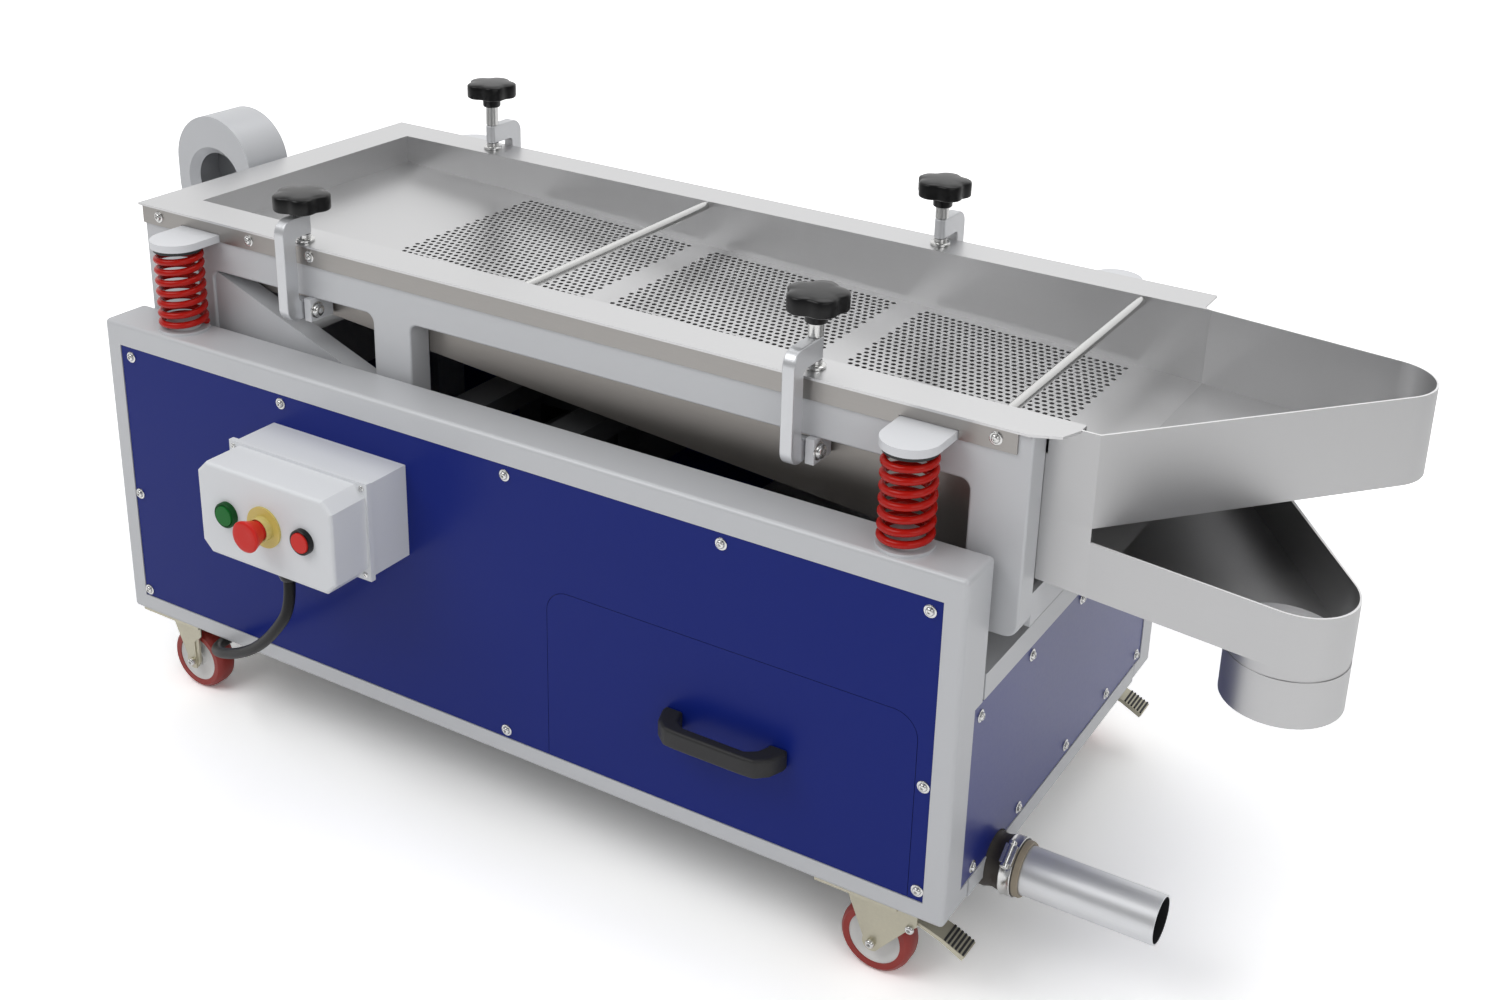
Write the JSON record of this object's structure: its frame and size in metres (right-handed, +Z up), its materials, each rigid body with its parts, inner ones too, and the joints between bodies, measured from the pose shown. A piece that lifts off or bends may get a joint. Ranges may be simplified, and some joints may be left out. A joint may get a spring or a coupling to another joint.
{
  "type": "mobile vibrating screen",
  "caption": "Wheeled vibrating screen: spring-mounted body with a perforated tray held by screw clamps, two chutes, a drawer, a control box and a drain pipe.",
  "frame": {"origin": "on the floor under the middle of the machine's bounding box, power cable left out", "axes": "+X from the feed end to the discharge chutes, +Y from the control side to the rear, +Z up"},
  "size_m": [1.481, 0.677, 0.663],
  "materials": {
    "frame_paint": "semi-gloss",
    "blue_paint": "gloss",
    "stainless": "brushed",
    "stainless_warm": "brushed",
    "spring_red": "gloss",
    "black_rubber": "matte",
    "black_plastic": "satin",
    "box_plastic": "satin",
    "button_green": "gloss",
    "button_red": "gloss",
    "ring_yellow": "satin",
    "zinc": "zinc plated",
    "wheel_tread": "satin",
    "cast_grey": "painted"
  },
  "bodies": {
    "base": {"base_frame": "frame_paint", "front_panel": "blue_paint", "rear_panel": "blue_paint", "feed_end_panel": "blue_paint", "discharge_end_panel": "blue_paint", "base_floor": "blue_paint", "drawer_runners": "zinc", "caster_plates": "zinc", "spring_seats": "frame_paint", "spring_front_feed": "spring_red", "spring_front_end": "spring_red", "spring_rear_feed": "spring_red", "spring_rear_end": "spring_red", "control_box": "box_plastic", "control_box_lid": "box_plastic", "stop_button_ring": "ring_yellow", "cable_gland": "black_plastic", "power_cable": "black_rubber", "drain_pipe": "frame_paint", "drain_socket": "stainless_warm", "pipe_clip": "zinc"},
    "screen_body": {"body_frame": "frame_paint", "spring_brackets": "frame_paint", "spring_washers": "black_rubber", "clamp_brackets": "zinc", "screen_tray": "stainless", "screen_deck": "stainless", "apron_strips": "stainless_warm", "tie_rods": "stainless", "undersize_pan": "stainless_warm", "upper_chute": "stainless", "lower_chute": "stainless_warm", "blower_scroll": "frame_paint", "vibration_motor": "cast_grey"},
    "drawer": {"drawer_front": "blue_paint", "drawer_tray": "stainless", "drawer_handle": "black_plastic"},
    "caster_fork_front_feed": {"caster_fork_front_feed": "zinc"},
    "caster_wheel_front_feed": {"caster_wheel_front_feed": "wheel_tread"},
    "caster_fork_front_end": {"caster_fork_front_end": "zinc"},
    "caster_wheel_front_end": {"caster_wheel_front_end": "wheel_tread"},
    "caster_fork_rear_feed": {"caster_fork_rear_feed": "zinc"},
    "caster_wheel_rear_feed": {"caster_wheel_rear_feed": "wheel_tread"},
    "caster_fork_rear_end": {"caster_fork_rear_end": "zinc"},
    "caster_wheel_rear_end": {"caster_wheel_rear_end": "wheel_tread"},
    "clamp_arm_front_feed": {"clamp_arm_front_feed": "frame_paint"},
    "clamp_knob_front_feed": {"clamp_knob_front_feed": "black_plastic"},
    "clamp_arm_front_end": {"clamp_arm_front_end": "frame_paint"},
    "clamp_knob_front_end": {"clamp_knob_front_end": "black_plastic"},
    "clamp_arm_rear_feed": {"clamp_arm_rear_feed": "frame_paint"},
    "clamp_knob_rear_feed": {"clamp_knob_rear_feed": "black_plastic"},
    "clamp_arm_rear_end": {"clamp_arm_rear_end": "frame_paint"},
    "clamp_knob_rear_end": {"clamp_knob_rear_end": "black_plastic"},
    "start_button": {"start_button": "button_green"},
    "stop_button": {"stop_button": "button_red"},
    "emergency_button": {"emergency_button": "button_red"}
  },
  "joints": [
    {"name": "body_bounce", "type": "slide", "parent": "base", "child": "screen_body", "axis": [0, 0, 1], "range_m": [-0.004, 0.004], "stiffness_N_per_m": 52709, "springref_m": 0.01, "deforming": ["spring_front_feed", "spring_front_end", "spring_rear_feed", "spring_rear_end"]},
    {"name": "drawer_slide", "type": "slide", "parent": "base", "child": "drawer", "axis": [0, -1, 0], "range_m": [0, 0.32]},
    {"name": "start_button_press", "type": "slide", "parent": "base", "child": "start_button", "axis": [0, 1, 0], "range_m": [0, 0.003], "stiffness_N_per_m": 400},
    {"name": "stop_button_press", "type": "slide", "parent": "base", "child": "stop_button", "axis": [0, 1, 0], "range_m": [0, 0.003], "stiffness_N_per_m": 400},
    {"name": "emergency_button_press", "type": "slide", "parent": "base", "child": "emergency_button", "axis": [0, 1, 0], "range_m": [0, 0.003], "stiffness_N_per_m": 400},
    {"name": "clamp_swing_front_feed", "type": "hinge", "parent": "screen_body", "child": "clamp_arm_front_feed", "pos_m": [-0.3645, -0.1405, 0.506], "axis": [1, 0, 0], "range_deg": [0, 90]},
    {"name": "knob_turn_front_feed", "type": "hinge", "parent": "clamp_arm_front_feed", "child": "clamp_knob_front_feed", "pos_m": [-0.3645, -0.1345, 0.611], "axis": [0, 0, 1], "continuous": true},
    {"name": "clamp_swing_front_end", "type": "hinge", "parent": "screen_body", "child": "clamp_arm_front_end", "pos_m": [0.2465, -0.1405, 0.506], "axis": [1, 0, 0], "range_deg": [0, 90]},
    {"name": "knob_turn_front_end", "type": "hinge", "parent": "clamp_arm_front_end", "child": "clamp_knob_front_end", "pos_m": [0.2465, -0.1225, 0.632], "axis": [0, 0, 1], "continuous": true},
    {"name": "clamp_swing_rear_feed", "type": "hinge", "parent": "screen_body", "child": "clamp_arm_rear_feed", "pos_m": [-0.4305, 0.2725, 0.506], "axis": [-1, 0, 0], "range_deg": [0, 90]},
    {"name": "knob_turn_rear_feed", "type": "hinge", "parent": "clamp_arm_rear_feed", "child": "clamp_knob_rear_feed", "pos_m": [-0.4305, 0.2545, 0.642], "axis": [0, 0, 1], "continuous": true},
    {"name": "clamp_swing_rear_end", "type": "hinge", "parent": "screen_body", "child": "clamp_arm_rear_end", "pos_m": [0.1885, 0.2725, 0.506], "axis": [-1, 0, 0], "range_deg": [0, 90]},
    {"name": "knob_turn_rear_end", "type": "hinge", "parent": "clamp_arm_rear_end", "child": "clamp_knob_rear_end", "pos_m": [0.1885, 0.2545, 0.632], "axis": [0, 0, 1], "continuous": true},
    {"name": "caster_swivel_front_feed", "type": "hinge", "parent": "base", "child": "caster_fork_front_feed", "pos_m": [-0.5445, -0.1695, 0.097], "axis": [0, 0, 1], "continuous": true},
    {"name": "wheel_spin_front_feed", "type": "hinge", "parent": "caster_fork_front_feed", "child": "caster_wheel_front_feed", "pos_m": [-0.5325, -0.1695, 0.0375], "axis": [0, 1, 0], "continuous": true},
    {"name": "caster_swivel_front_end", "type": "hinge", "parent": "base", "child": "caster_fork_front_end", "pos_m": [0.3575, -0.1695, 0.097], "axis": [0, 0, 1], "continuous": true},
    {"name": "wheel_spin_front_end", "type": "hinge", "parent": "caster_fork_front_end", "child": "caster_wheel_front_end", "pos_m": [0.3695, -0.1695, 0.0375], "axis": [0, 1, 0], "continuous": true},
    {"name": "caster_swivel_rear_feed", "type": "hinge", "parent": "base", "child": "caster_fork_rear_feed", "pos_m": [-0.5445, 0.3015, 0.097], "axis": [0, 0, 1], "continuous": true},
    {"name": "wheel_spin_rear_feed", "type": "hinge", "parent": "caster_fork_rear_feed", "child": "caster_wheel_rear_feed", "pos_m": [-0.5325, 0.3015, 0.0375], "axis": [0, 1, 0], "continuous": true},
    {"name": "caster_swivel_rear_end", "type": "hinge", "parent": "base", "child": "caster_fork_rear_end", "pos_m": [0.3575, 0.3015, 0.097], "axis": [0, 0, 1], "continuous": true},
    {"name": "wheel_spin_rear_end", "type": "hinge", "parent": "caster_fork_rear_end", "child": "caster_wheel_rear_end", "pos_m": [0.3695, 0.3015, 0.0375], "axis": [0, 1, 0], "continuous": true}
  ]
}
